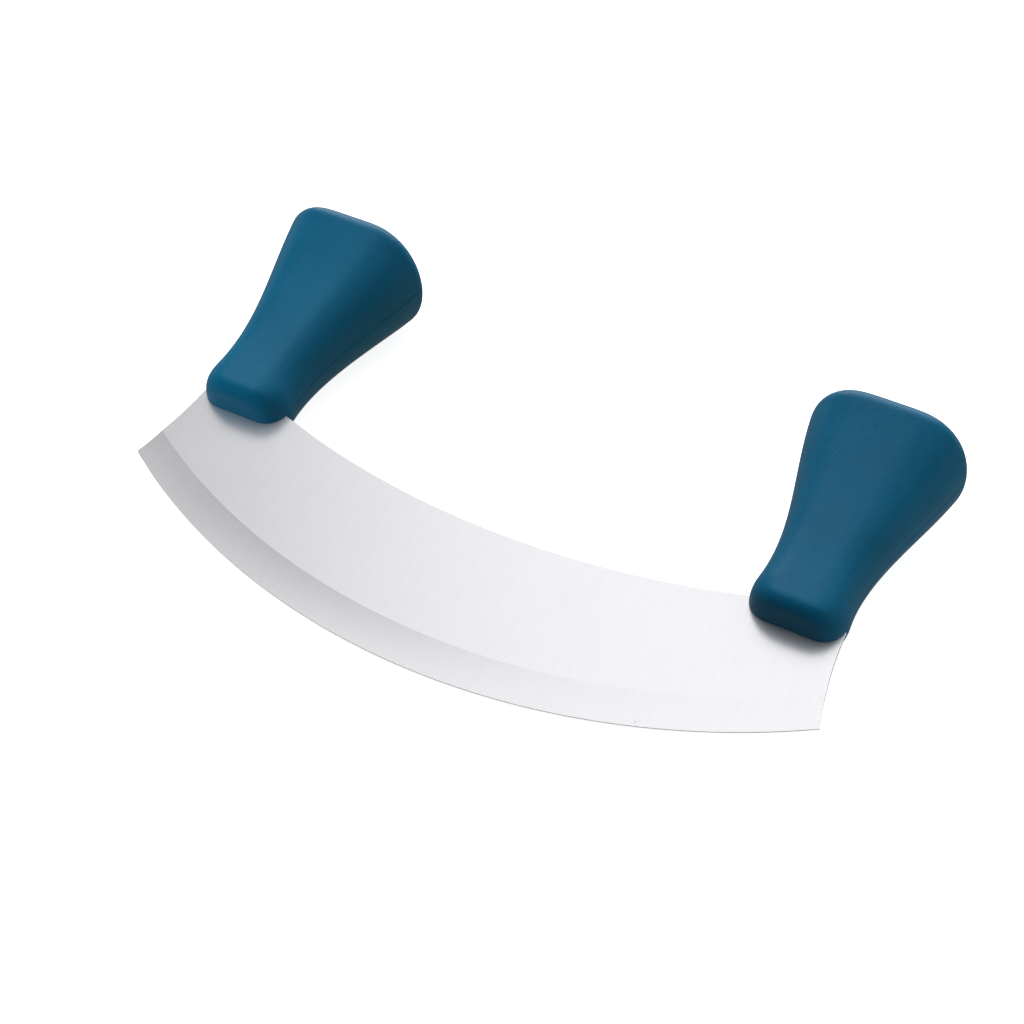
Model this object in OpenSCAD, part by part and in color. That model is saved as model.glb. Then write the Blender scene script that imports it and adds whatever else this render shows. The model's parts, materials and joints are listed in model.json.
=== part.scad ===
// Mezzaluna: a crescent chopping blade of one steel sheet, with an upright
// hollow handle of two plastic shells near each end.
//
// The blade is drawn in the XY plane: X runs along it, Y goes up from the
// lowest point of the cutting edge, and +Z is the front. A handle is drawn
// about its own middle, with Y going up from its bottom, and is then moved to
// its seat on the blade. Last, lay() sets everything down on the backs of the
// handles, on the plane Z = 0, as the object lies on a worktop.

/* [Blade] */
// Straight distance between the two tips
blade_length = 230; // [190:1:280]
// Height of the blade at its middle, from edge to spine
blade_height = 53; // [44:0.5:65]
// Radius of the curved cutting edge
edge_radius = 218; // [180:1:280]
// Radius of the hollow spine
spine_radius = 277; // [225:1:400]
// Radius of the hollow curve at each end of the blade
end_radius = 130; // [80:1:200]
// How far the upper corner of each end lies inside its tip
end_inset = 6; // [2:0.5:14]
// Thickness of the steel sheet
blade_t = 1.5; // [1:0.1:2.5]

/* [Grind] */
// Width of the hollow-ground band at the middle of the blade
grind_width = 12; // [6:0.5:16]
// Radius of the line where the band begins
grind_radius = 220; // [190:1:280]
// Thickness left at the cutting edge
edge_t = 0.3; // [0.2:0.05:0.6]
// Radius of the wheel that hollows the band
wheel_radius = 125; // [115:5:250]

/* [Handle] */
// Length of each handle, from its bottom to the rim of its domed top
handle_length = 76.1; // [68:0.1:95]
// How far a handle reaches down over the blade, from the spine at its middle
seat_depth = 11.2; // [10:0.1:16]
// How far a handle's side lies outside the blade's upper corner
handle_overhang = 0.8; // [0.6:0.05:1.6]
// Width at the bottom, before the end is rounded
width_bottom = 34.8; // [28:0.1:40]
// Control width that draws in the waist
width_waist = 16.2; // [14:0.1:26]
// Control width of the upper flare
width_flare = 45.2; // [34:0.1:53]
// Width at the top
width_top = 51.2; // [45:0.1:61]
// Depth at the bottom, before the end is rounded
depth_bottom = 24.8; // [20:0.1:30]
// Control depth of the waist
depth_waist = 25.3; // [20:0.1:30]
// Control depth of the upper flare
depth_flare = 31.9; // [24:0.1:36]
// Depth at the top
depth_top = 46.6; // [34:0.1:50]
// Rounding of the bottom end at its two sides
bottom_round = 10.3; // [8:0.1:11]
// Rounding of the bottom end at its front and back
bottom_edge = 4.1; // [3:0.1:6]
// Rounding of the top end at its two sides
top_round = 4.4; // [4.2:0.1:8]
// Rounding of the top end at its front and back
top_edge = 5.3; // [3:0.1:7]
// Rise of the domed top above its rim
top_crown = 1.5; // [0.5:0.5:3]
// Power of a section's super-ellipse, where more is squarer
section_power = 5; // [3:0.1:6]
// Share of the width by which the sides lean in from the seam to the front
side_lean = 0.3; // [0.1:0.01:0.4]

/* [Shells] */
// Wall of the handle shells
wall = 4; // [3:0.1:4.5]
// Width of the tongue on the front shell's rim
tongue_t = 1.2; // [0.8:0.1:1.6]
// Height of the tongue
tongue_h = 1.6; // [1:0.1:3]
// Bevel of each shell's rim, which makes the fine groove at the seam
seam_bevel = 0.3; // [0.1:0.05:0.6]
// Thickness of the cross ribs
rib_t = 1.8; // [1.2:0.1:2.4]
// Depth of the flats that the handles lie on
land_depth = 0.4; // [0.2:0.05:0.8]

/* [Tangs] */
// Width of each tang where it leaves the blade
tang_w_low = 20; // [14:0.5:24]
// Width of each tang at its rounded top
tang_w_top = 14; // [11:0.5:18]
// Height of the tang's top above the upper pin
tang_end = 13; // [9:0.5:15]
// Height in the handle above which the blade's outer corner is cut away
corner_rise = 6.5; // [5:0.5:9]
// How far the corner is cut back from the handle's side
corner_cut = 3.2; // [2:0.1:5]

/* [Pins] */
// Diameter of the steel pins
pin_d = 5; // [4:0.1:6]
// Depth of a pin in each shell, from the blade's face
pin_grip = 6.5; // [5:0.1:8]
// Height of the lower pins above the handle's bottom
pin_low = 22; // [19:0.5:27]
// Distance from the lower to the upper pin
pin_pitch = 25; // [19:0.5:30]
// Wall round each pin's socket
boss_wall = 2.2; // [1.8:0.1:3]

/* [Fits] */
// Gap between the steel sheet and the plastic, on each face and edge
sheet_gap = 0.1; // [0.05:0.05:0.3]
// Gap round the tongue
tongue_gap = 0.1; // [0.05:0.05:0.3]
// Gap round a pin in its socket
socket_gap = 0.05; // [0.02:0.01:0.1]
// Gap round a pin in the tang's hole
tang_hole_gap = 0.15; // [0.1:0.05:0.3]

/* [Hidden] */

steel = [0.80, 0.80, 0.82];
plastic = [0.10, 0.33, 0.46];
pin_steel = [0.62, 0.63, 0.65];

// Segments of the arcs, and of a handle's curved surface
arc_fn = 360;
pin_fn = 48;
section_steps = 8;
round_steps = 6;
flare_steps = 11;
crown_steps = 3;
// A shell's inner edges keep at least this rounding
inner_round = 0.3;

pin_chamfer = 0.4;
socket_end_gap = 0.3;
// How far a cutter reaches past the face that it cuts
cut = 1;
// How far the wheel reaches past the cutting edge
edge_room = 30;

// Centre, to the right of the line from p up to q, of the arc through both
function arc_centre(p, q, r) =
    let (
        half = (q - p) / 2,
        away = sqrt(r ^ 2 - half * half),
        side = [half.y, -half.x] / norm(half)
    )
    p + half + side * away;

// Cubic curve with evenly spaced control values, t from 0 to 1
function curve(c, t) =
    c[0] * (1 - t) ^ 3 + 3 * c[1] * t * (1 - t) ^ 2
    + 3 * c[2] * t ^ 2 * (1 - t) + c[3] * t ^ 3;

// Half width and half depth of a handle at the height y above its bottom
function half_width(y) =
    curve([width_bottom, width_waist, width_flare, width_top], y / handle_length) / 2;
function half_depth(y) =
    curve([depth_bottom, depth_waist, depth_flare, depth_top], y / handle_length) / 2;

// How far a rounding of radius r draws a face in at the distance d from the end
function drawn_in(r, d) = d < r ? r - sqrt(r ^ 2 - (r - d) ^ 2) : 0;

// A handle's stations are [height, inset of the sides, inset of the front and
// back, size of the section]. A body inset by the shells' wall has the same
// centres for its roundings. The stations of an end run over the larger of its
// two roundings.
bottom_reach = max(bottom_round, bottom_edge);
top_reach = max(top_round, top_edge);
function end_station(y, d, side, edge, inset) = [
    y,
    inset + drawn_in(side - inset, d),
    inset + drawn_in(max(edge - inset, inner_round), d),
    1
];
function rounding(r, inset, i) = (r - inset) * (1 - sin(90 * i / round_steps));
function bottom_stations(inset) = [
    for (i = [round_steps:-1:0])
        let (d = rounding(bottom_reach, inset, i))
        end_station(inset + d, d, bottom_round, bottom_edge, inset)
];
function flare_stations(inset) = [
    for (i = [1:flare_steps - 1])
        let (low = bottom_reach, high = handle_length - top_reach)
        [low + (high - low) * i / flare_steps, inset, inset, 1]
];
function top_stations(inset) = [
    for (i = [0:round_steps])
        let (d = rounding(top_reach, inset, i))
        end_station(handle_length - inset - d, d, top_round, top_edge, inset)
];
function crown_stations(inset) =
    let (rim = end_station(handle_length - inset, 0, top_round, top_edge, inset))
    [
        for (i = [1:crown_steps])
            let (size = 1 - i / (crown_steps + 1))
            [rim[0] + top_crown * (1 - size ^ 2), rim[1], rim[2], size]
    ];
function stations(inset) = concat(
    bottom_stations(inset),
    flare_stations(inset),
    top_stations(inset),
    crown_stations(inset)
);
function station_width(s) = (half_width(s[0]) - s[1]) * s[3];
function station_depth(s) = (half_depth(s[0]) - s[2]) * s[3];

// The right half of a section on +Z, as [x, z], from the seam to the middle of
// the front: a super-ellipse whose sides lean in. Its angles are eased, which
// spreads the points about evenly along the curve. The rim at the seam has a
// bevel where one is asked for.
function half_section(s, bevel) =
    let (
        w = station_width(s),
        d = station_depth(s),
        first = asin((bevel / d) ^ (section_power / 2)),
        rim = bevel > 0 ? [[w * (1 - side_lean * (bevel / d) ^ 2) - bevel, 0]] : []
    )
    concat(rim, [
        for (i = [0:section_steps])
            let (
                u = i / section_steps,
                t = first + (90 - first) * u ^ 2 * (3 - 2 * u),
                out = cos(t) ^ (2 / section_power),
                up = sin(t) ^ (2 / section_power)
            )
            [w * out * (1 - side_lean * up ^ 2), d * up]
    ]);

// One section over a turn of 180 or 360 degrees
function section(s, turn, bevel) =
    let (
        h = half_section(s, bevel),
        m = len(h) - 1,
        front = concat(h, [for (i = [m - 1:-1:0]) [-h[i].x, h[i].y]]),
        back = turn < 360 ? [] : [for (i = [len(front) - 2:-1:1]) [front[i].x, -front[i].y]]
    )
    [for (p = concat(front, back)) [p.x, s[0], p.y]];

// Where the ends, the spine and the handles meet on the blade
tip_x = blade_length / 2;
tip_y = edge_radius - sqrt(edge_radius ^ 2 - tip_x ^ 2);
spine_y = blade_height + spine_radius;
function spine_at(x) = spine_y - sqrt(spine_radius ^ 2 - x ^ 2);
corner_x = tip_x - end_inset;
end_centre = arc_centre([tip_x, tip_y], [corner_x, spine_at(corner_x)], end_radius);
handle_x = corner_x + handle_overhang - half_width(corner_rise);
handle_y = spine_at(handle_x) - seat_depth;

pin_r = pin_d / 2;
pin_rows = [pin_low, pin_low + pin_pitch];
pin_length = 2 * pin_grip + blade_t;
boss_r = pin_r + boss_wall;
tang_rise = pin_low + pin_pitch + tang_end;

// The plane that touches the backs of both ends of a handle, as the line that
// touches the circles of the two roundings, less the depth of the flats
low_centre = [handle_y + bottom_edge, half_depth(bottom_edge) - bottom_edge];
high_centre = [
    handle_y + handle_length - top_edge,
    half_depth(handle_length - top_edge) - top_edge
];
between = high_centre - low_centre;
rest_tilt = atan2(between.y, between.x) - asin((bottom_edge - top_edge) / norm(between));
rest_height = cos(rest_tilt) * low_centre.y - sin(rest_tilt) * low_centre.x
    + bottom_edge - land_depth;

// Middle of the object once it lies on that plane, from edge to handle tops
edge_end = -sin(rest_tilt) * edge_t / 2;
handle_end = max([
    for (s = stations(0))
        (handle_y + s[0]) * cos(rest_tilt) + station_depth(s) * sin(rest_tilt)
]);
middle_y = (edge_end + handle_end) / 2;

// A closed body through all sections: a half on +Z, or the full round
module loft(inset, turn, bevel = 0) {
    rows = [for (s = stations(inset)) section(s, turn, bevel)];
    m = len(rows[0]);
    last = len(rows) - 1;
    sides = [
        for (i = [0:last - 1], j = [0:m - 1])
            let (a = i * m + j, b = i * m + (j + 1) % m)
            each [[a, b, b + m], [a, b + m, a + m]]
    ];
    foot = [for (j = [m - 1:-1:0]) j];
    head = [for (j = [0:m - 1]) last * m + j];
    polyhedron([for (r = rows) each r], concat(sides, [foot, head]), convexity = 6);
}

// Outline of a handle on the seam plane, inset from its side
module handle_outline(inset) {
    s = stations(inset);
    polygon(concat(
        [for (e = s) [station_width(e), e[0]]],
        [for (i = [len(s) - 1:-1:0]) [-station_width(s[i]), s[i][0]]]
    ));
}

// What is cut off the blade's upper corner, inside the handle
module corner_relief(side, grow) {
    x = half_width(corner_rise) - corner_cut + grow;
    translate([side > 0 ? x : -x - width_top, corner_rise + grow])
        square([width_top, handle_length]);
}

// The sheet between its four arcs, grown all round
module crescent(grow) {
    difference() {
        translate([0, edge_radius]) circle(r = edge_radius + grow, $fn = arc_fn);
        translate([0, spine_y]) circle(r = spine_radius - grow, $fn = arc_fn);
        for (side = [-1, 1]) {
            translate([side * end_centre.x, end_centre.y])
                circle(r = end_radius - grow, $fn = arc_fn);
            translate([side * handle_x, handle_y]) corner_relief(side, grow);
        }
    }
}

module tang(grow) {
    low = tang_w_low / 2 + grow;
    top = tang_w_top / 2 + grow;
    y = tang_rise - tang_w_top / 2;
    polygon([[-low, 0], [low, 0], [top, y], [-top, y]]);
    translate([0, y]) circle(r = top, $fn = pin_fn);
}

module sheet(grow) {
    crescent(grow);
    for (side = [-1, 1])
        translate([side * handle_x, handle_y]) tang(grow);
}

// Ring of steel that the wheel takes off one face along the edge
module grind() {
    inner = [grind_radius, blade_t / 2];
    outer = [grind_radius + grind_width, edge_t / 2];
    translate([0, outer.x, 0])
        rotate_extrude($fn = arc_fn)
            intersection() {
                translate(arc_centre(outer, inner, wheel_radius))
                    circle(r = wheel_radius, $fn = 4 * arc_fn);
                translate([inner.x, 0]) square([grind_width + edge_room, blade_t]);
            }
}

module pin_sites() {
    for (y = pin_rows)
        translate([0, y, 0]) children();
}

module blade_body() {
    difference() {
        linear_extrude(blade_t, center = true) sheet(0);
        grind();
        mirror([0, 0, 1]) grind();
        for (side = [-1, 1])
            translate([side * handle_x, handle_y, 0])
                pin_sites()
                    cylinder(r = pin_r + tang_hole_gap, h = blade_t + 2 * cut, center = true, $fn = pin_fn);
    }
}

// The sheet's outline as seen from a handle's own middle
module sheet_at_handle(side, grow) {
    translate([-side * handle_x, -handle_y]) sheet(grow);
}

// Cross ribs between the pins and above the tang, from the wall to the seam
module ribs() {
    rib_rows = [(pin_rows[0] + pin_rows[1]) / 2, tang_rise + rib_t];
    intersection() {
        loft(wall / 2, 180);
        for (y = rib_rows)
            translate([-width_top / 2, y - rib_t / 2, 0]) cube([width_top, rib_t, depth_top]);
    }
}

// Posts round the sockets, from the seam to half way through the wall
module bosses() {
    for (y = pin_rows)
        translate([0, y, 0]) cylinder(r = boss_r, h = half_depth(y) - wall / 2, $fn = pin_fn);
}

// One half of a handle on +Z, open at the seam, with its slot and sockets
module half_shell(side) {
    difference() {
        union() {
            difference() {
                loft(0, 180, seam_bevel);
                loft(wall, 360);
            }
            ribs();
            bosses();
        }
        linear_extrude(blade_t + 2 * sheet_gap, center = true) sheet_at_handle(side, sheet_gap);
        pin_sites()
            cylinder(r = pin_r + socket_gap, h = blade_t / 2 + pin_grip + socket_end_gap, $fn = pin_fn);
    }
}

// Lip along the inside of the rim, left out at the steel: the tongue, or with
// a gap the rebate that takes it
module seam_lip(side, gap, height) {
    linear_extrude(height)
        difference() {
            handle_outline(wall - tongue_t - gap);
            handle_outline(wall);
            sheet_at_handle(side, tongue_t);
        }
}

module front_shell(side) {
    half_shell(side);
    translate([0, 0, -tongue_h]) seam_lip(side, 0, tongue_h);
}

module rear_shell(side) {
    depth = tongue_h + tongue_gap;
    difference() {
        mirror([0, 0, 1]) half_shell(side);
        translate([0, 0, -depth]) seam_lip(side, tongue_gap, depth + cut);
    }
}

// One pin with a chamfer on each end, centred on the blade's mid plane
module tang_pin() {
    cylinder(r = pin_r, h = pin_length - 2 * pin_chamfer, center = true, $fn = pin_fn);
    for (end = [0, 1])
        mirror([0, 0, end])
            translate([0, 0, pin_length / 2 - pin_chamfer])
                cylinder(r1 = pin_r, r2 = pin_r - pin_chamfer, h = pin_chamfer, $fn = pin_fn);
}

// Sets the object down on the backs of its handles, centred on the origin
module lay() {
    translate([0, -middle_y, rest_height]) rotate([rest_tilt, 0, 0]) children();
}

module at_handle(side) {
    lay() translate([side * handle_x, handle_y, 0]) children();
}

// Cuts the flats where a handle lies on the plane
module above_rest() {
    difference() {
        children();
        translate([-blade_length, -blade_length, -2 * cut])
            cube([2 * blade_length, 2 * blade_length, 2 * cut]);
    }
}

module blade() { color(steel) lay() blade_body(); }

module left_handle_front_shell() { color(plastic) at_handle(-1) front_shell(-1); }

module left_handle_rear_shell() { color(plastic) above_rest() at_handle(-1) rear_shell(-1); }

module left_tang_pins() { color(pin_steel) at_handle(-1) pin_sites() tang_pin(); }

module right_handle_front_shell() { color(plastic) at_handle(1) front_shell(1); }

module right_handle_rear_shell() { color(plastic) above_rest() at_handle(1) rear_shell(1); }

module right_tang_pins() { color(pin_steel) at_handle(1) pin_sites() tang_pin(); }

blade();
left_handle_front_shell();
left_handle_rear_shell();
left_tang_pins();
right_handle_front_shell();
right_handle_rear_shell();
right_tang_pins();
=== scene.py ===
"""Looks of the mezzaluna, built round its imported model.

The blade and the four handle shells are rebuilt finely from the part's own
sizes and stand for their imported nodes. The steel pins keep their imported
meshes. A piece is drawn flat, in millimetres, with X along the blade and Y up
from the cutting edge. It is then laid down on the backs of the handles, in
metres and in the part's own frame.
"""

from __future__ import annotations

import json
import logging
import math
from dataclasses import dataclass, field
from enum import Enum
from typing import Any, Iterable, Mapping, Sequence, Union

import bmesh
import bpy
from mathutils import Matrix, Vector

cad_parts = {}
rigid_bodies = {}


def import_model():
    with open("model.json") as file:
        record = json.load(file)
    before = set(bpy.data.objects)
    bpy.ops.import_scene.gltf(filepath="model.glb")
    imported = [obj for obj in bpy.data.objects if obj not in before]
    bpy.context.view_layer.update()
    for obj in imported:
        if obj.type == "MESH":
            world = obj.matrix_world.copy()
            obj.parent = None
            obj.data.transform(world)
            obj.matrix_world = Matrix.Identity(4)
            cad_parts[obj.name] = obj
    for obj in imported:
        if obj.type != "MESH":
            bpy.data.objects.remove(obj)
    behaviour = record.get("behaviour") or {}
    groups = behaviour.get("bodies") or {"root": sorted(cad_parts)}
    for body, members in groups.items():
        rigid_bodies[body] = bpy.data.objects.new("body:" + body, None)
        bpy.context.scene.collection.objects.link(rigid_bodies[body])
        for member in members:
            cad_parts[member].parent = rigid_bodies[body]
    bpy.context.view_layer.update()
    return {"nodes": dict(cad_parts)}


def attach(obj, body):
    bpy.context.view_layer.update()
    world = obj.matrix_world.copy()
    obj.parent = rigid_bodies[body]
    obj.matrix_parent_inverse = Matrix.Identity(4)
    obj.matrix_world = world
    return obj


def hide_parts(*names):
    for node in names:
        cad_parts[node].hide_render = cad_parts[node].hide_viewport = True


MM = 0.001
BODY = "root"
log = logging.getLogger("mezzaluna")

Tree = bpy.types.NodeTree
Node = bpy.types.Node
Socket = bpy.types.NodeSocket
Material = bpy.types.Material
Mesh = bpy.types.Mesh
Object = bpy.types.Object
Colour = tuple[float, float, float]
Point = tuple[float, float]
Value = Union["Field", Socket, float, Sequence[float]]


class Facing(Enum):
    """The two shells of a handle, by the side of the blade they lie on."""

    FRONT = 1
    REAR = -1


class Hand(Enum):
    """The two handles, by their place along the blade."""

    LEFT = -1
    RIGHT = 1


class Step(Enum):
    """The ways in which one closed solid changes another."""

    CUT = "DIFFERENCE"
    FUSE = "UNION"
    KEEP = "INTERSECT"


# Node trees


class Field:
    """A value in a node tree, whose arithmetic adds Math nodes to the tree."""

    def __init__(self, tree: Tree, socket: Socket) -> None:
        """Wraps an output of a tree."""
        self.tree = tree
        self.socket = socket

    def math(self, operation: str, *terms: Value) -> "Field":
        """Adds one Math node that begins with this value."""
        return joined(self.tree, operation, self, *terms)

    def __add__(self, other: Value) -> "Field":
        """Adds a value."""
        return self.math("ADD", other)

    def __sub__(self, other: Value) -> "Field":
        """Takes a value away."""
        return self.math("SUBTRACT", other)

    def __rsub__(self, other: Value) -> "Field":
        """Is taken away from a value."""
        return joined(self.tree, "SUBTRACT", other, self)

    def __mul__(self, other: Value) -> "Field":
        """Multiplies by a value."""
        return self.math("MULTIPLY", other)

    def __truediv__(self, other: Value) -> "Field":
        """Divides by a value, where anything over 0 is 0."""
        return self.math("DIVIDE", other)

    def __rtruediv__(self, other: Value) -> "Field":
        """Divides a value, where anything over 0 is 0."""
        return joined(self.tree, "DIVIDE", other, self)

    def __pow__(self, other: Value) -> "Field":
        """Raises to a power."""
        return self.math("POWER", other)

    def root(self) -> "Field":
        """Takes the square root."""
        return self.math("SQRT")

    def sine(self) -> "Field":
        """Takes the sine of an angle in radians."""
        return self.math("SINE")

    def cosine(self) -> "Field":
        """Takes the cosine of an angle in radians."""
        return self.math("COSINE")

    def share(self) -> "Field":
        """Keeps the value between 0 and 1."""
        return self.math("MAXIMUM", 0.0).math("MINIMUM", 1.0)


def joined(tree: Tree, operation: str, *terms: Value) -> Field:
    """Adds one Math node with its values in order, and gives its result."""
    node = add_node(tree, "ShaderNodeMath", dict(enumerate(terms)), operation=operation)
    return Field(tree, node.outputs[0])


def between(share: Field, low: Value, high: Value) -> Field:
    """Goes evenly from a low value, at share 0, to a high one, at share 1."""
    return share * (high - low) + low


def wire(tree: Tree, value: Value, socket: Socket) -> None:
    """Links a value to a socket, or sets the socket's own value.

    Args:
        tree: The tree that holds the socket.
        value: A field, an output or a plain value.
        socket: The input to feed.
    """
    if isinstance(value, Field):
        tree.links.new(value.socket, socket)
    elif isinstance(value, Socket):
        tree.links.new(value, socket)
    else:
        socket.default_value = value


def add_node(
    tree: Tree,
    kind: str,
    values: Mapping[Union[int, str], Value] | None = None,
    **settings: Any,
) -> Node:
    """Adds a node, with its settings and its inputs.

    Args:
        tree: The tree that gets the node.
        kind: The node's type.
        values: What its inputs get, by name or place.
        settings: The node's own settings.

    Returns:
        The node.
    """
    node = tree.nodes.new(kind)
    for name, setting in settings.items():
        setattr(node, name, setting)
    for key, value in (values or {}).items():
        wire(tree, value, node.inputs[key])
    return node


def new_group(
    name: str,
    kind: str,
    inputs: Mapping[str, tuple[str, Any]],
    outputs: Mapping[str, str],
) -> tuple[Tree, dict[str, Field], Node]:
    """Starts a node group with named sockets.

    Args:
        name: The group's name.
        kind: The type of tree.
        inputs: The type of socket and the usual value of each input.
        outputs: The type of socket of each output.

    Returns:
        The tree, its inputs as fields, and its output node.
    """
    tree = bpy.data.node_groups.new(name, kind)
    for label, (socket_type, usual) in inputs.items():
        socket = tree.interface.new_socket(name=label, in_out="INPUT", socket_type=socket_type)
        if usual is not None:
            socket.default_value = usual
    for label, socket_type in outputs.items():
        tree.interface.new_socket(name=label, in_out="OUTPUT", socket_type=socket_type)
    entry = tree.nodes.new("NodeGroupInput")
    fields = {label: Field(tree, entry.outputs[label]) for label in inputs}
    return tree, fields, tree.nodes.new("NodeGroupOutput")


def place_fields(tree: Tree, source: Socket) -> tuple[Field, Field, Field]:
    """Splits a vector into its X, Y and Z."""
    split = add_node(tree, "ShaderNodeSeparateXYZ", {0: source})
    return tuple(Field(tree, output) for output in split.outputs)


def moved(tree: Tree, geometry: Socket, x: Value, y: Value, z: Value) -> Socket:
    """Puts each point of a mesh at a place of its own.

    Args:
        tree: The tree that holds the mesh.
        geometry: The mesh.
        x: Where it goes along X.
        y: Where it goes along Y.
        z: Where it goes along Z.

    Returns:
        The moved mesh.
    """
    place = add_node(tree, "ShaderNodeCombineXYZ", {0: x, 1: y, 2: z})
    values = {"Geometry": geometry, "Position": place.outputs[0]}
    return add_node(tree, "GeometryNodeSetPosition", values).outputs[0]


def close_tree(tree: Tree, geometry: Socket, material: Field, way_out: Node) -> None:
    """Ends a tree in plain, smooth and dressed mesh.

    Args:
        tree: The tree to end.
        geometry: The finished shape.
        material: The material input.
        way_out: The tree's output node.
    """
    smooth = add_node(tree, "GeometryNodeSetShadeSmooth", {"Geometry": geometry})
    real = add_node(tree, "GeometryNodeRealizeInstances", {"Geometry": smooth.outputs[0]})
    values = {"Geometry": real.outputs[0], "Material": material}
    dressed = add_node(tree, "GeometryNodeSetMaterial", values)
    tree.links.new(dressed.outputs[0], way_out.inputs[0])


def new_shape_tree(name: str, sizes: Iterable[str]) -> tuple[Tree, dict[str, Field], Node]:
    """Starts the tree of a shape, with its sizes and its material as inputs.

    Args:
        name: The tree's name.
        sizes: The names of its sizes.

    Returns:
        The tree, its inputs as fields, and its output node.
    """
    inputs: dict[str, tuple[str, Any]] = {label: ("NodeSocketFloat", 0.0) for label in sizes}
    inputs["Material"] = ("NodeSocketMaterial", None)
    return new_group(name, "GeometryNodeTree", inputs, {"Geometry": "NodeSocketGeometry"})


def new_grid(tree: Tree, columns: int, rows: int) -> Socket:
    """Adds a flat grid of points, one wide and one high about the origin."""
    values = {"Size X": 1.0, "Size Y": 1.0, "Vertices X": columns, "Vertices Y": rows}
    return add_node(tree, "GeometryNodeMeshGrid", values).outputs["Mesh"]


def place_in(tree: Tree) -> tuple[Field, Field, Field]:
    """Gives the X, Y and Z of each point of a shape."""
    return place_fields(tree, tree.nodes.new("GeometryNodeInputPosition").outputs[0])


def together(tree: Tree, *parts: Socket) -> Socket:
    """Joins meshes into one, in order."""
    node = add_node(tree, "GeometryNodeJoinGeometry")
    for part in parts:
        tree.links.new(part, node.inputs[0])
    return node.outputs[0]


def welded(tree: Tree, geometry: Socket, distance: float) -> Socket:
    """Merges the points of a mesh that lie within a distance of each other."""
    values = {"Geometry": geometry, "Distance": distance}
    return add_node(tree, "GeometryNodeMergeByDistance", values).outputs[0]


# Solids


def linked(name: str, mesh: Mesh) -> Object:
    """Makes an object of a mesh and puts it in the scene."""
    piece = bpy.data.objects.new(name, mesh)
    bpy.context.scene.collection.objects.link(piece)
    return piece


def finished_mesh(maker: Object, name: str) -> Mesh:
    """Turns an object with modifiers into a plain mesh, and removes the object.

    Args:
        maker: The object.
        name: The mesh's name.

    Returns:
        The plain mesh.
    """
    graph = bpy.context.evaluated_depsgraph_get()
    mesh = bpy.data.meshes.new_from_object(maker.evaluated_get(graph))
    mesh.name = name
    maker.modifiers.clear()
    bpy.data.objects.remove(maker)
    return mesh


def grown(tree: Tree, sizes: Mapping[str, float], material: Material) -> Mesh:
    """Runs a shape's tree once.

    Args:
        tree: The tree.
        sizes: Its inputs by name.
        material: What the shape is made of.

    Returns:
        The plain mesh.
    """
    maker = linked(tree.name, bpy.data.meshes.new(tree.name))
    modifier = maker.modifiers.new("shape", "NODES")
    modifier.node_group = tree
    for item in tree.interface.items_tree:
        if item.item_type == "SOCKET" and item.in_out == "INPUT":
            wanted = material if item.name == "Material" else float(sizes[item.name])
            modifier[item.identifier] = wanted
    return finished_mesh(maker, tree.name)


def plate(outline: Sequence[Point], low: float, high: float) -> Mesh:
    """Makes a flat plate of an outline.

    Args:
        outline: The corners, counter-clockwise from the front.
        low: Its back face.
        high: Its front face.

    Returns:
        The closed mesh.
    """
    shape = bmesh.new()
    back = [shape.verts.new((x, y, low)) for x, y in outline]
    front = [shape.verts.new((x, y, high)) for x, y in outline]
    shape.faces.new(back[::-1])
    shape.faces.new(front)
    for i, corner in enumerate(back):
        after = (i + 1) % len(back)
        shape.faces.new((corner, back[after], front[after], front[i]))
    mesh = bpy.data.meshes.new("plate")
    shape.to_mesh(mesh)
    shape.free()
    return mesh


def block(low: Sequence[float], high: Sequence[float]) -> Mesh:
    """Makes a box between two corners."""
    (x0, y0, z0), (x1, y1, z1) = low, high
    return plate([(x0, y0), (x1, y0), (x1, y1), (x0, y1)], z0, z1)


def on_circle(centre: Point, radius: float, turn: float) -> Point:
    """Gives the point of a circle at an angle in radians."""
    return (centre[0] + radius * math.cos(turn), centre[1] + radius * math.sin(turn))


def rod(centre: Point, radius: float, low: float, high: float, sides: int = 64) -> Mesh:
    """Makes a round rod along Z.

    Args:
        centre: Its axis.
        radius: Its radius.
        low: Its back end.
        high: Its front end.
        sides: How many flats go round it.

    Returns:
        The closed mesh.
    """
    outline = [on_circle(centre, radius, 2 * math.pi * i / sides) for i in range(sides)]
    return plate(outline, low, high)


def worked(name: str, base: Mesh, steps: Sequence[tuple[Step, Mesh]]) -> Mesh:
    """Cuts and fuses closed solids, one after another.

    Args:
        name: The result's name.
        base: The solid to start from.
        steps: What is done to it, and with what.

    Returns:
        The closed mesh.
    """
    body = linked(name, base)
    tools = []
    for step, mesh in steps:
        tool = linked("tool", mesh)
        tools.append(tool)
        modifier = body.modifiers.new(step.name.lower(), "BOOLEAN")
        modifier.operation = step.value
        modifier.solver = "MANIFOLD"
        modifier.object = tool
    mesh = finished_mesh(body, name)
    for tool in tools:
        bpy.data.objects.remove(tool)
    return mesh


def mirrored(mesh: Mesh) -> Mesh:
    """Makes the left twin of a right-hand mesh, with its faces outwards."""
    twin = mesh.copy()
    twin.transform(Matrix.Scale(-1, 4, (1, 0, 0)))
    twin.flip_normals()
    return twin


# Arcs in the plane of the blade


def arc_centre(start: Point, end: Point, radius: float) -> Point:
    """Finds the centre, to the right of the line, of the arc through two points.

    Args:
        start: The first point.
        end: The second point.
        radius: The arc's radius.

    Returns:
        The centre.
    """
    half_x, half_y = (end[0] - start[0]) / 2, (end[1] - start[1]) / 2
    half = math.hypot(half_x, half_y)
    away = math.sqrt(radius**2 - half**2) / half
    return (start[0] + half_x + half_y * away, start[1] + half_y - half_x * away)


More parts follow.
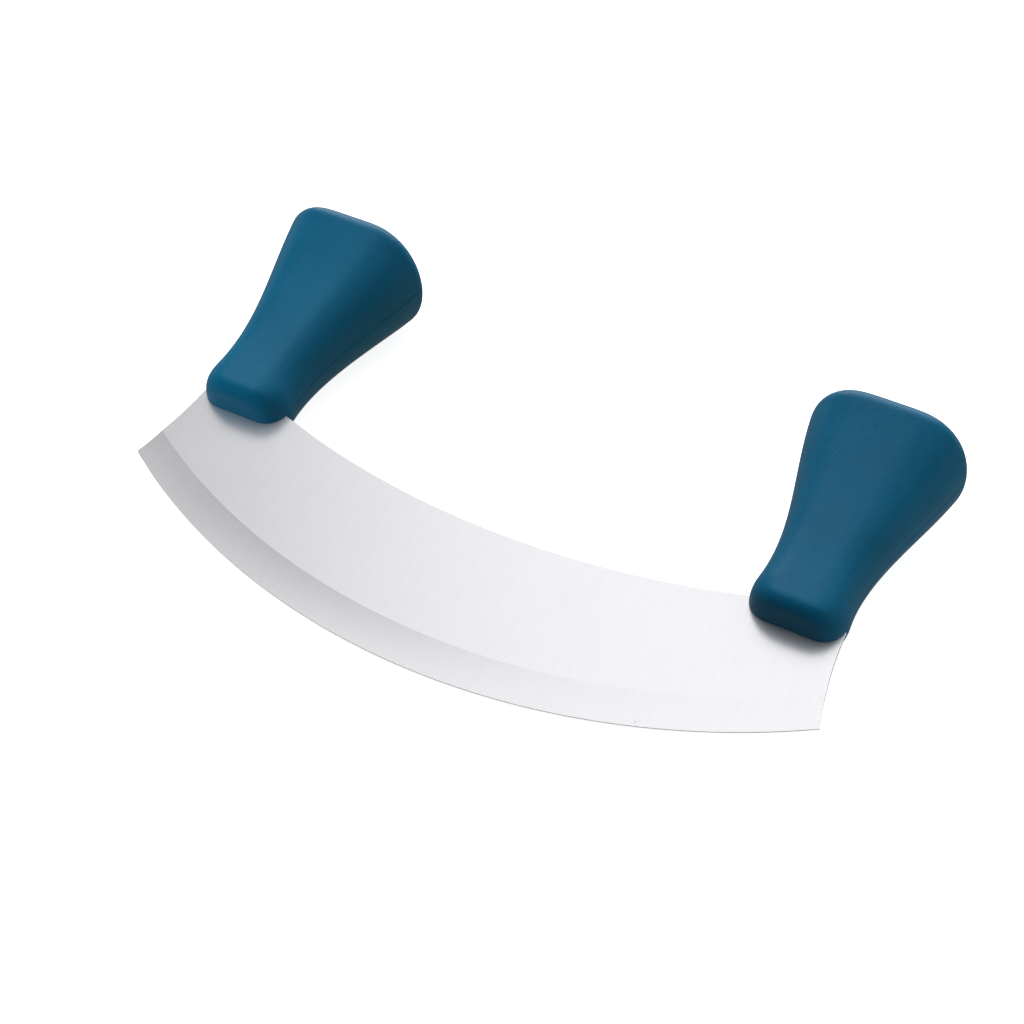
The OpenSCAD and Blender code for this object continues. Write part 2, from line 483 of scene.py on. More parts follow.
def crossing(
    centre_a: Point, radius_a: float, centre_b: Point, radius_b: float, near: Point
) -> Point:
    """Finds where two circles cross.

    Args:
        centre_a: The first circle's centre.
        radius_a: The first circle's radius.
        centre_b: The second circle's centre.
        radius_b: The second circle's radius.
        near: A point close to the crossing that is wanted.

    Returns:
        The crossing.
    """
    dx, dy = centre_b[0] - centre_a[0], centre_b[1] - centre_a[1]
    apart = math.hypot(dx, dy)
    along = (radius_a**2 - radius_b**2 + apart**2) / (2 * apart)
    aside = math.sqrt(radius_a**2 - along**2)
    found = [
        (
            centre_a[0] + (along * dx - side * aside * dy) / apart,
            centre_a[1] + (along * dy + side * aside * dx) / apart,
        )
        for side in (-1, 1)
    ]
    return min(found, key=lambda p: math.dist(p, near))


def arc_points(centre: Point, start: Point, end: Point, steps: int) -> list[Point]:
    """Walks the shorter way round a circle.

    Args:
        centre: The circle's centre.
        start: Where the walk starts, on the circle.
        end: Where it ends, on the circle.
        steps: How many steps it takes.

    Returns:
        The points, without the last one.
    """
    radius = math.dist(centre, start)
    first = math.atan2(start[1] - centre[1], start[0] - centre[0])
    last = math.atan2(end[1] - centre[1], end[0] - centre[0])
    turn = (last - first + math.pi) % (2 * math.pi) - math.pi
    return [on_circle(centre, radius, first + turn * i / steps) for i in range(steps)]


# Finishes


@dataclass(frozen=True)
class Lay:
    """How the flat object lies on the backs of its handles.

    Attributes:
        tilt: How far the blade leans, in degrees.
        rise: Height of the flat drawing's origin, in millimetres.
        middle: The object's middle in the flat drawing, in millimetres.
    """

    tilt: float = 7.99452
    rise: float = 3.30177
    middle: float = 67.8299

    @property
    def shift(self) -> Vector:
        """The move that follows the turn, in metres."""
        return Vector((0, -self.middle, self.rise)) * MM

    @property
    def matrix(self) -> Matrix:
        """The whole move, from the flat drawing in millimetres to the frame."""
        turn = Matrix.Rotation(math.radians(self.tilt), 4, "X")
        return Matrix.Translation(self.shift) @ turn @ Matrix.Scale(MM, 4)

    def flat_coordinates(self, tree: Tree) -> Socket:
        """Gives a material the flat drawing's coordinates, in metres."""
        place = tree.nodes.new("ShaderNodeTexCoord").outputs["Object"]
        turn = (math.radians(self.tilt), 0, 0)
        values = {"Vector": place, "Location": self.shift, "Rotation": turn}
        return add_node(tree, "ShaderNodeMapping", values, vector_type="TEXTURE").outputs[0]


LAY = Lay()


def new_material(name: str) -> tuple[Material, Tree, Node]:
    """Starts a material with one Principled BSDF.

    Args:
        name: The material's name.

    Returns:
        The material, its tree and the shader.
    """
    material = bpy.data.materials.new(name)
    material.use_nodes = True
    tree = material.node_tree
    return material, tree, tree.nodes["Principled BSDF"]


def noise(tree: Tree, point: Value, scale: Value, detail: float, roughness: float = 0.5) -> Field:
    """Adds a noise about 0.5, with scale features in a metre and finer layers."""
    values = {"Vector": point, "Scale": scale, "Detail": detail, "Roughness": roughness}
    return Field(tree, add_node(tree, "ShaderNodeTexNoise", values).outputs["Fac"])


def use_group(tree: Tree, group: Tree, values: Mapping[str, Value]) -> dict[str, Field]:
    """Places a shared effect in a material.

    Args:
        tree: The material's tree.
        group: The effect.
        values: Its inputs by name.

    Returns:
        Its outputs by name.
    """
    node = tree.nodes.new("ShaderNodeGroup")
    node.node_tree = group
    for name, value in values.items():
        wire(tree, value, node.inputs[name])
    return {output.name: Field(tree, output) for output in node.outputs}


def blended(tree: Tree, share: Value, low: Value, high: Value) -> Socket:
    """Mixes two colours.

    Args:
        tree: The tree that gets the mix.
        share: How much of the second.
        low: The first colour.
        high: The second colour.

    Returns:
        The mixed colour.
    """
    # The places of a Mix node's sockets for its share, its colours and its result
    share_in, low_in, high_in, out = 0, 6, 7, 2
    values = {share_in: share, low_in: low, high_in: high}
    return add_node(tree, "ShaderNodeMix", values, data_type="RGBA").outputs[out]


def rgba(colour: Colour) -> tuple[float, float, float, float]:
    """Adds full cover to a colour."""
    return (*colour, 1.0)


def shaded(colour: Colour, by: float) -> tuple[float, float, float, float]:
    """Makes a colour darker or lighter by a factor."""
    return rgba(tuple(channel * by for channel in colour))


def toned(tree: Tree, tone: Field, colour: Colour, change: float) -> Socket:
    """Makes a colour darker at tone 0 and lighter at tone 1, by a share."""
    return blended(tree, tone.share(), shaded(colour, 1 - change), shaded(colour, 1 + change))


def add_relief(tree: Tree, shader: Node, height: Field, strength: float, depth: float) -> None:
    """Gives a shader a fine relief, whose depth is in metres."""
    values = {"Height": height, "Strength": strength, "Distance": depth}
    wire(tree, add_node(tree, "ShaderNodeBump", values).outputs[0], shader.inputs["Normal"])


def marks_group() -> Tree:
    """Builds the straight marks that grinding and drawing leave in steel.

    Returns:
        The group. Lines is their pattern and Height their relief.
    """
    inputs = {
        "Point": ("NodeSocketVector", None),
        "Across": ("NodeSocketFloat", 0.0004),
        "Along": ("NodeSocketFloat", 0.02),
    }
    outputs = {"Lines": "NodeSocketFloat", "Height": "NodeSocketFloat"}
    tree, given, way_out = new_group("grinding_marks", "ShaderNodeTree", inputs, outputs)
    band_scale = (0.17, 0.4, 0.4)
    band_share = 0.35
    contrast = 2.2
    x, y, z = place_fields(tree, given["Point"].socket)
    values = {0: x / given["Across"], 1: y / given["Along"], 2: z / given["Along"]}
    fine = add_node(tree, "ShaderNodeCombineXYZ", values)
    values = {0: fine.outputs[0], 1: band_scale}
    coarse = add_node(tree, "ShaderNodeVectorMath", values, operation="MULTIPLY")
    scratches = noise(tree, fine.outputs[0], scale=1.0, detail=2.0, roughness=0.65)
    bands = noise(tree, coarse.outputs[0], scale=1.0, detail=2.0)
    mixed = scratches * (1 - band_share) + bands * band_share
    lines = ((mixed - 0.5) * contrast + 0.5).share()
    wire(tree, lines, way_out.inputs["Lines"])
    wire(tree, scratches, way_out.inputs["Height"])
    return tree


def mottle_group() -> Tree:
    """Builds the soft cloudiness that every surface has.

    Returns:
        The group. Cloud is broad, Grain is fine, and both lie about 0.5.
    """
    inputs = {
        "Point": ("NodeSocketVector", None),
        "Cloud Size": ("NodeSocketFloat", 0.02),
        "Grain Size": ("NodeSocketFloat", 0.0006),
    }
    outputs = {"Cloud": "NodeSocketFloat", "Grain": "NodeSocketFloat"}
    tree, given, way_out = new_group("mottle", "ShaderNodeTree", inputs, outputs)
    point = given["Point"]
    cloud = noise(tree, point, 1.0 / given["Cloud Size"], detail=3.0)
    grain = noise(tree, point, 1.0 / given["Grain Size"], detail=2.0, roughness=0.6)
    wire(tree, cloud, way_out.inputs["Cloud"])
    wire(tree, grain, way_out.inputs["Grain"])
    return tree


def specks_group() -> Tree:
    """Builds sparse tiny specks.

    Returns:
        The group. Specks is 1 in a speck and 0 elsewhere.
    """
    inputs = {
        "Point": ("NodeSocketVector", None),
        "Spacing": ("NodeSocketFloat", 0.012),
        "Radius": ("NodeSocketFloat", 0.0003),
    }
    outputs = {"Specks": "NodeSocketFloat"}
    empty_cells, rim = 0.45, 1.5
    tree, given, way_out = new_group("specks", "ShaderNodeTree", inputs, outputs)
    values = {"Vector": given["Point"], "Scale": 1.0 / given["Spacing"]}
    cells = add_node(tree, "ShaderNodeTexVoronoi", values)
    distance = Field(tree, cells.outputs["Distance"]) * given["Spacing"]
    rare = place_fields(tree, cells.outputs["Color"])[0].math("GREATER_THAN", empty_cells)
    inside = (rim - distance / given["Radius"]).share()
    wire(tree, inside * rare, way_out.inputs["Specks"])
    return tree


@dataclass(frozen=True)
class Effects:
    """The shader effects that several finishes share."""

    marks: Tree = field(default_factory=marks_group)
    mottle: Tree = field(default_factory=mottle_group)
    specks: Tree = field(default_factory=specks_group)


@dataclass(frozen=True)
class MouldedPlastic:
    """Satin moulded plastic with the fine texture of a spark-eroded mould.

    Attributes:
        colour: Its colour in even light.
        roughness: How matt it is.
        specular: How strongly it mirrors.
        texture_size: The grain of the mould's texture, in metres.
        texture_depth: How deep the texture is taken to be, in metres.
        texture_strength: How strongly it bends the light.
        cloud_size: Size of the soft clouds in its tone, in metres.
        tone_change: How far its colour goes up and down.
        cloud_tone: How much of that the clouds do.
        texture_tone: How much of that the texture does.
        cloud_matt: How much the clouds change its roughness.
        texture_matt: How much the texture changes its roughness.
    """

    colour: Colour = (0.0015, 0.089, 0.174)
    roughness: float = 0.35
    specular: float = 0.13
    texture_size: float = 0.00045
    texture_depth: float = 0.0001
    texture_strength: float = 0.7
    cloud_size: float = 0.016
    tone_change: float = 0.14
    cloud_tone: float = 0.9
    texture_tone: float = 2.2
    cloud_matt: float = 0.12
    texture_matt: float = 0.1

    def material(self, name: str, effects: Effects) -> Material:
        """Makes the finish.

        Args:
            name: The material's name.
            effects: The shared effects.

        Returns:
            The material.
        """
        material, tree, shader = new_material(name)
        point = LAY.flat_coordinates(tree)
        values = {"Point": point, "Cloud Size": self.cloud_size, "Grain Size": self.texture_size}
        mottle = use_group(tree, effects.mottle, values)
        cloud, grain = mottle["Cloud"] - 0.5, mottle["Grain"] - 0.5
        tone = cloud * self.cloud_tone + grain * self.texture_tone + 0.5
        wire(tree, toned(tree, tone, self.colour, self.tone_change), shader.inputs["Base Color"])
        rough = cloud * self.cloud_matt + grain * self.texture_matt + self.roughness
        wire(tree, rough, shader.inputs["Roughness"])
        shader.inputs["Specular IOR Level"].default_value = self.specular
        add_relief(tree, shader, mottle["Grain"], self.texture_strength, self.texture_depth)
        return material


@dataclass(frozen=True)
class GroundSteel:
    """Satin stainless steel with straight marks from the grinding belt.

    Attributes:
        colour: Its mirror colour.
        metallic: How much of it mirrors, where the rest scatters light evenly.
        roughness: How matt it is.
        line_width: Width of a mark, in metres.
        line_length: Length of a mark, in metres.
        line_depth: How deep a mark is taken to be, in metres.
        line_strength: How strongly the marks bend the light.
        line_matt: How much the marks change its roughness.
        contrast: How much the marks change its colour.
        cloud_size: Size of the soft clouds in its tone, in metres.
        cloud_tone: How much the clouds change its colour, next to the marks.
        cloud_matt: How much the clouds change its roughness.
        speck_tone: How light a speck is.
        speck_cover: How much of a speck shows.
    """

    colour: Colour = (0.865, 0.865, 0.88)
    metallic: float = 0.66
    roughness: float = 0.26
    line_width: float = 0.00035
    line_length: float = 0.012
    line_depth: float = 0.00001
    line_strength: float = 0.02
    line_matt: float = 0.015
    contrast: float = 0.035
    cloud_size: float = 0.03
    cloud_tone: float = 0.6
    cloud_matt: float = 0.03
    speck_tone: float = 0.3
    speck_cover: float = 0.5

    def material(self, name: str, effects: Effects) -> Material:
        """Makes the finish.

        Args:
            name: The material's name.
            effects: The shared effects.

        Returns:
            The material.
        """
        material, tree, shader = new_material(name)
        point = LAY.flat_coordinates(tree)
        values = {"Point": point, "Across": self.line_width, "Along": self.line_length}
        marks = use_group(tree, effects.marks, values)
        values = {"Point": point, "Cloud Size": self.cloud_size}
        cloud = use_group(tree, effects.mottle, values)["Cloud"] - 0.5
        specks = use_group(tree, effects.specks, {"Point": point})["Specks"]
        colour = toned(tree, marks["Lines"] + cloud * self.cloud_tone, self.colour, self.contrast)
        speck = shaded(self.colour, self.speck_tone)
        colour = blended(tree, specks * self.speck_cover, colour, speck)
        wire(tree, colour, shader.inputs["Base Color"])
        rough = (marks["Lines"] - 0.5) * self.line_matt + cloud * self.cloud_matt + self.roughness
        wire(tree, rough, shader.inputs["Roughness"])
        shader.inputs["Metallic"].default_value = self.metallic
        add_relief(tree, shader, marks["Height"], self.line_strength, self.line_depth)
        return material


# The bar that the pins are cut from
DRAWN_STEEL = GroundSteel(colour=(0.6, 0.6, 0.62), line_length=0.004)


# Pieces


def finish_piece(name: str, mesh: Mesh, material: Material, stands_for: str) -> Object:
    """Lays a finished mesh down and hands it to the frame.

    Args:
        name: The piece's name.
        mesh: Its flat mesh, in millimetres.
        material: What it is made of.
        stands_for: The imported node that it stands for.

    Returns:
        The piece.
    """
    mesh.transform(LAY.matrix)
    mesh.materials.clear()
    mesh.materials.append(material)
    mesh.name = name
    piece = linked(name, mesh)
    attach(piece, BODY)
    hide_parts(stands_for)
    log.info("%s: %d faces, stands for %s", name, len(mesh.polygons), stands_for)
    return piece


@dataclass
class Blade:
    """The crescent of hollow-ground sheet steel, in millimetres.

    Attributes:
        length: Straight distance between the tips.
        height: Height at the middle.
        edge_radius: Radius of the cutting edge.
        spine_radius: Radius of the hollow spine.
        end_radius: Radius of the hollow ends.
        end_inset: How far an upper corner lies inside its tip.
        thickness: Thickness of the sheet.
        grind_width: Width of the hollow band at the middle.
        grind_radius: Radius of the line where the band begins.
        edge_thickness: Thickness left at the edge.
        wheel_radius: Radius of the wheel that hollows the band.
        eased: Rounding of the sheet's edges.
        eased_from: Angle from which an edge is rounded, in degrees.
        crease: Angle from which an edge shows as a line, in degrees.
        columns: Points along the blade.
        band_rows: Points across the hollow band.
        flat_rows: Points across the flat above it.
    """

    length: float = 230.0
    height: float = 53.0
    edge_radius: float = 218.0
    spine_radius: float = 277.0
    end_radius: float = 130.0
    end_inset: float = 6.0
    thickness: float = 1.5
    grind_width: float = 12.0
    grind_radius: float = 220.0
    edge_thickness: float = 0.3
    wheel_radius: float = 125.0
    eased: float = 0.1
    eased_from: float = 50.0
    crease: float = 3.5
    columns: int = 321
    band_rows: int = 15
    flat_rows: int = 9

    # Points closer than this are one
    WELD = 0.001
    # Points along the arcs of the plain outline
    END_STEPS = 24
    SPINE_STEPS = 160
    EDGE_STEPS = 200

    @property
    def tip(self) -> Point:
        """The right tip."""
        x = self.length / 2
        return (x, self.edge_radius - math.sqrt(self.edge_radius**2 - x**2))

    @property
    def spine_centre(self) -> Point:
        """The centre of the spine's arc."""
        return (0.0, self.height + self.spine_radius)

    @property
    def grind_centre(self) -> Point:
        """The centre of the line where the band begins."""
        return (0.0, self.grind_radius + self.grind_width)

    @property
    def corner(self) -> Point:
        """The right end's upper corner."""
        x = self.tip[0] - self.end_inset
        return (x, self.spine_at(x))

    @property
    def end_centre(self) -> Point:
        """The centre of the right end's arc."""
        return arc_centre(self.tip, self.corner, self.end_radius)

    @property
    def line_end(self) -> Point:
        """Where the band's line meets the right end."""
        line, end = (self.grind_centre, self.grind_radius), (self.end_centre, self.end_radius)
        return crossing(*line, *end, self.tip)

    @property
    def wheel(self) -> Point:
        """The wheel's centre: its distance from the band's centre, and its height."""
        outer = (self.grind_radius + self.grind_width, self.edge_thickness / 2)
        inner = (self.grind_radius, self.thickness / 2)
        return arc_centre(outer, inner, self.wheel_radius)

    def spine_at(self, x: float) -> float:
        """The spine's height at a place along the blade."""
        centre = self.spine_centre
        return centre[1] - math.sqrt(self.spine_radius**2 - x**2)

    def tree(self) -> Tree:
        """Builds the tree of the ground crescent, between its four arcs.

        Returns:
            The tree.
        """
        tree, size, way_out = new_shape_tree("ground_crescent", self.sizes())
        x, y, z = place_in(tree)
        along, up = x * 2.0, y + 0.5

        def arc(centre: Field, radius: Field, off: Field) -> Field:
            """Lower or left side of an arc, at a distance from its middle."""
            return centre - (radius * radius - off * off).root()

        def reach(height: Field) -> Field:
            """How far the right end reaches at a height."""
            return arc(size["End Centre X"], size["End Radius"], height - size["End Centre Y"])

        def height(name: str, share: Value) -> Field:
            """Height of a long arc, at a share of its half length."""
            off = size[f"{name} End X"] * share
            return arc(size[f"{name} Centre"], size[f"{name} Radius"], off)

        def patch(rows: int, low: str, high: str) -> Socket:
            """Spreads a grid between two of the long arcs."""
            end = between(up, height(low, 1.0), height(high, 1.0))
            rise = between(up, height(low, along), height(high, along))
            return moved(tree, new_grid(tree, self.columns, rows), along * reach(end), rise, 0.0)

        band = patch(self.band_rows, "Edge", "Line")
        flat = patch(self.flat_rows, "Line", "Spine")
        plan = welded(tree, together(tree, band, flat), self.WELD)
        values = {"Mesh": plan, "Offset": (0, 0, 1), "Offset Scale": 1.0, "Individual": False}
        raised = add_node(tree, "GeometryNodeExtrudeMesh", values).outputs["Mesh"]
        under = add_node(tree, "GeometryNodeFlipFaces", {"Mesh": plan}).outputs[0]
        closed = welded(tree, together(tree, raised, under), self.WELD)
        rise = y - size["Line Centre"]
        spread = (x * x + rise * rise).root() - size["Wheel Reach"]
        hollow = arc(size["Wheel Height"], size["Wheel Radius"], spread)
        half = hollow.math("MINIMUM", size["Thickness"] * 0.5)
        solid = moved(tree, closed, x, y, (z * 2.0 - 1.0) * half)
        close_tree(tree, solid, size["Material"], way_out)
        return tree

    def sizes(self) -> dict[str, float]:
        """Gives the tree's inputs by name."""
        return {
            "Edge End X": self.tip[0],
            "Edge Centre": self.edge_radius,
            "Edge Radius": self.edge_radius,
            "Line End X": self.line_end[0],
            "Line Centre": self.grind_centre[1],
            "Line Radius": self.grind_radius,
            "Spine End X": self.corner[0],
            "Spine Centre": self.spine_centre[1],
            "Spine Radius": self.spine_radius,
            "End Centre X": self.end_centre[0],
            "End Centre Y": self.end_centre[1],
            "End Radius": self.end_radius,
            "Wheel Reach": self.wheel[0],
            "Wheel Height": self.wheel[1],
            "Wheel Radius": self.wheel_radius,
            "Thickness": self.thickness,
        }

    def outline(self, grow: float, notch: Point) -> list[Point]:
        """Draws the sheet's outline, without its tangs.

        Args:
            grow: How far it is grown all round.
            notch: The inner corner of what is cut off each upper corner.

        Returns:
            The corners, counter-clockwise.
        """
        end, spine = self.end_radius - grow, self.spine_radius - grow
        edge_centre = (0.0, self.edge_radius)
        low = crossing(edge_centre, self.edge_radius + grow, self.end_centre, end, self.tip)
        step_x, step_y = notch[0] + grow, notch[1] + grow
        out = (self.end_centre[0] - math.sqrt(end**2 - (step_y - self.end_centre[1]) ** 2), step_y)
        top = (step_x, self.spine_centre[1] - math.sqrt(spine**2 - step_x**2))
        side = arc_points(self.end_centre, low, out, self.END_STEPS) + [out, (step_x, step_y)]
        across = arc_points(self.spine_centre, top, (-top[0], top[1]), self.SPINE_STEPS)
        back = [(-px, py) for px, py in [top] + side[::-1]]
        bottom = arc_points(edge_centre, (-low[0], low[1]), low, self.EDGE_STEPS)
        return side + across + back + bottom[1:]

    def build(self, handle: Handle, steel: Material) -> Object:
        """Builds the blade with its two tangs.

        Args:
            handle: The right handle, which holds the right tang.
            steel: What it is made of.

        Returns:
            The piece.
        """
        crescent = linked("crescent", grown(self.tree(), self.sizes(), steel))
        ease = crescent.modifiers.new("eased", "BEVEL")
        ease.width = self.eased
        ease.segments = 2
        ease.limit_method = "ANGLE"
        ease.angle_limit = math.radians(self.eased_from)
        half = self.thickness / 2
        steps = []
        notch_x, notch_y = handle.notch
        far = self.length
        for side in (-1, 1):
            low_x, high_x = sorted((side * notch_x, side * far))
            steps.append((Step.CUT, block((low_x, notch_y, -far), (high_x, far, far))))
            tang = [(side * handle.x + px, handle.y + py) for px, py in handle.tang_outline(0.0)]
            steps.append((Step.FUSE, plate(tang, -half, half)))
            for rise in handle.pin_rows:
                centre = (side * handle.x, handle.y + rise)
                steps.append((Step.CUT, rod(centre, handle.tang_hole / 2, -far, far)))
        mesh = worked("blade", finished_mesh(crescent, "crescent"), steps)
        mesh.shade_smooth()
        mesh.set_sharp_from_angle(angle=math.radians(self.crease))
        return finish_piece("blade_sheet", mesh, steel, "blade")


@dataclass
class Handle:
    """One upright handle of two hollow shells, in millimetres.

    Attributes:
        blade: The blade that it sits on.
        length: From its bottom to the rim of its domed top.
        seat_depth: How far it reaches down over the blade.
        overhang: How far its side lies outside the blade's upper corner.
        widths: Control widths, from the bottom to the top.
        depths: Control depths, from the bottom to the top.
        bottom_round: Rounding of the bottom end at its sides.
        bottom_edge: Rounding of the bottom end at its front and back.
        top_round: Rounding of the top end at its sides.
        top_edge: Rounding of the top end at its front and back.
        top_crown: Rise of the domed top.
        section_power: Power of a section's super-ellipse.
        side_lean: Share of the width by which the sides lean in to the front.
        seam_round: Rounding of each shell's rim.
        wall: Wall of the shells.
        tongue: Width and height of the tongue on the front shell's rim.
        tongue_gap: Gap round the tongue.
        rib: Thickness of the cross ribs.
        tang_widths: Width of the tang at the blade and at its top.
        tang_rise: Height of the tang's top.
        corner_rise: Height above which the blade's corner is cut away.
        corner_cut: How far the corner is cut back.
        pin_rows: Heights of the pins.
        pin_grip: Depth of a pin in each shell.
        pin_room: Room past the end of a pin.
        boss: Outer diameter of the posts round the pins.
        socket: Diameter of the holes in them.
        tang_hole: Diameter of the holes in the tang.
        sheet_gap: Gap between the steel and the plastic.
        crease: Angle from which an edge shows as a line, in degrees.
    """

    blade: Blade
    length: float = 76.1
    seat_depth: float = 11.2
    overhang: float = 0.8
    widths: tuple[float, float, float, float] = (34.8, 16.2, 45.2, 51.2)
    depths: tuple[float, float, float, float] = (24.8, 25.3, 31.9, 46.6)
    bottom_round: float = 10.3
    bottom_edge: float = 4.1
    top_round: float = 4.4
    top_edge: float = 5.3
    top_crown: float = 1.5
    section_power: float = 5.0
    side_lean: float = 0.3
    seam_round: float = 0.3
    wall: float = 4.0
    tongue: tuple[float, float] = (1.2, 1.6)
    tongue_gap: float = 0.1
    rib: float = 1.8
    tang_widths: tuple[float, float] = (20.0, 14.0)
    tang_rise: float = 60.0
    corner_rise: float = 6.5
    corner_cut: float = 3.2
    pin_rows: tuple[float, float] = (22.0, 47.0)
    pin_grip: float = 6.5
    pin_room: float = 0.3
    boss: float = 9.4
    socket: float = 5.1
    tang_hole: float = 5.3
    sheet_gap: float = 0.1
    crease: float = 32.0

    # Points of the body's grid, from the seam forwards and from the bottom up
    RIM_COLUMNS = 4
    SKIN_COLUMNS = 36
    BOTTOM_ROWS = 18
    FLARE_ROWS = 60
    TOP_ROWS = 16
    CROWN_ROWS = 12
    # Points closer than this are one
    WELD = 0.0005
    # Least rounding inside the shells, and most of the seam's in a section
    INNER_ROUND = 0.3
    SEAM_SHARE = 0.3
    # How far the tongue roots in its shell, and how far a cut goes too far
    TONGUE_ROOT = 0.5
    OVERCUT = 1.0
    # Points round the tang's top, a seam corner and a seam side
    CAP_STEPS = 24
    ROUND_STEPS = 16
    SIDE_STEPS = 40
    # Half the size of the block that the rest flats are cut with
    WORKTOP = 600.0

    @property
    def x(self) -> float:
        """Place of the right handle's middle along the blade."""
        return self.blade.corner[0] + self.overhang - self.half(self.widths, self.corner_rise)

    @property
    def y(self) -> float:
        """Height of the handle's bottom above the edge's lowest point."""
        return self.blade.spine_at(self.x) - self.seat_depth

    @property
    def notch(self) -> Point:
        """Inner corner of what is cut off the blade's upper right corner."""
        reach = self.half(self.widths, self.corner_rise) - self.corner_cut
        return (self.x + reach, self.y + self.corner_rise)

    def half(self, controls: Sequence[float], rise: float) -> float:
        """Half a width or depth at a height.

        Args:
            controls: The four control sizes.
            rise: The height above the handle's bottom.

        Returns:
            Half of the size there.
        """
        t = rise / self.length
        weights = ((1 - t) ** 3, 3 * t * (1 - t) ** 2, 3 * t**2 * (1 - t), t**3)
        return sum(w * c for w, c in zip(weights, controls)) / 2

    def tang_outline(self, grow: float) -> list[Point]:
        """Draws the tang's outline about the handle's own middle.

        Args:
            grow: How far it is grown all round.

        Returns:
            The corners, counter-clockwise.
        """
        low, top = (width / 2 + grow for width in self.tang_widths)
        centre = (0.0, self.tang_rise - self.tang_widths[1] / 2)
        turns = [math.pi * i / self.CAP_STEPS for i in range(self.CAP_STEPS + 1)]
        return [(-low, 0.0), (low, 0.0)] + [on_circle(centre, top, turn) for turn in turns]

    def seam_outline(self, inset: float) -> list[Point]:
        """Draws the handle's outline on the seam plane.

        Args:
            inset: How far it is drawn in from the handle's side.

        Returns:
            The corners, counter-clockwise.
        """
        turns = [math.pi / 2 * i / self.ROUND_STEPS for i in range(self.ROUND_STEPS + 1)]
        corner = [(1 - math.sin(turn), 1 - math.cos(turn)) for turn in turns]
        low, top = self.bottom_round - inset, self.top_round - inset
        pitch = (self.length - self.bottom_round - self.top_round) / self.SIDE_STEPS
        stations = [(inset + low * rise, low * drawn) for rise, drawn in corner[::-1]]
        stations += [(self.bottom_round + pitch * i, 0.0) for i in range(1, self.SIDE_STEPS)]
        stations += [(self.length - inset - top * fall, top * drawn) for fall, drawn in corner]
        right = [(self.half(self.widths, y) - inset - drawn, y) for y, drawn in stations]
        return right + [(-x, y) for x, y in right[::-1]]

    def tree(self) -> Tree:
        """Builds the tree of half a handle's body, from the seam to its front.

        Returns:
            The tree.
        """
        tree, size, way_out = new_shape_tree("handle_body", self.sizes(0.0, Facing.FRONT))
        middle = self.RIM_COLUMNS + self.SKIN_COLUMNS
        columns = 2 * middle + 2
        rows = 2 + self.BOTTOM_ROWS + self.FLARE_ROWS + self.TOP_ROWS + self.CROWN_ROWS
        across, up, _ = place_in(tree)
        column = (across + 0.5) * float(columns - 1)
        row = (up + 0.5) * float(rows - 1)
        folded = column.math("MINIMUM", 2.0 * middle - column)

        def stretch(at: Field, first: int, count: int) -> Field:
            """Goes from 0 to 1 over some columns or rows."""
            return ((at - float(first)) / float(count)).share()

        def drawn_in(radius: Field, from_end: Field) -> Field:
            """How far a rounding draws a face in, near an end."""
            left = (radius - from_end).math("MAXIMUM", 0.0)
            return radius - (radius * radius - left * left).math("MAXIMUM", 0.0).root()

        quarter = math.pi / 2
        inset = size["Inset"]
        counts = (1, self.BOTTOM_ROWS, self.FLARE_ROWS, self.TOP_ROWS, self.CROWN_ROWS)
        foot, bottom, flare, top, crown = [
            stretch(row, sum(counts[:i]), count) for i, count in enumerate(counts)
        ]
        low_side, high_side = size["Bottom Round"] - inset, size["Top Round"] - inset
        low_edge = (size["Bottom Edge"] - inset).math("MAXIMUM", self.INNER_ROUND)
        high_edge = (size["Top Edge"] - inset).math("MAXIMUM", self.INNER_ROUND)
        low, high = low_side.math("MAXIMUM", low_edge), high_side.math("MAXIMUM", high_edge)
        # The dome's slope at its rim, where the edge's rounding runs into it
        slope = size["Top Crown"] * 8.0 / (size["Width 4"] + size["Depth 4"] - high * 2.0)
        low_turn = (1.0 - bottom) * quarter
        high_turn = top * (quarter - slope)
        low_end = low * (1.0 - low_turn.sine())
        high_end = high * (1.0 - high_turn.sine())
        straight = size["Length"] - inset * 2.0 - low - high
        dome = (1.0 - (1.0 - crown) ** 2.0) * size["Top Crown"]
        height = inset + low_end + straight * flare + (high - high_end) + dome
        sides = inset + drawn_in(low_side, low_end) + drawn_in(high_side, high_end)
        faces = inset + drawn_in(low_edge, low_end) + drawn_in(high_edge, high_end)
        scale = foot * (1.0 - crown)

        t = height / size["Length"]
        weights = ((1.0 - t) ** 3.0, t * (1.0 - t) ** 2.0 * 3.0, t**2.0 * (1.0 - t) * 3.0, t**3.0)

        def half_size(name: str, drawn: Field) -> Field:
            """Half a width or depth, less what is drawn in."""
            total = weights[0] * size[f"{name} 1"]
            for i in (1, 2, 3):
                total = total + weights[i] * size[f"{name} {i + 1}"]
            return (total * 0.5 - drawn) * scale

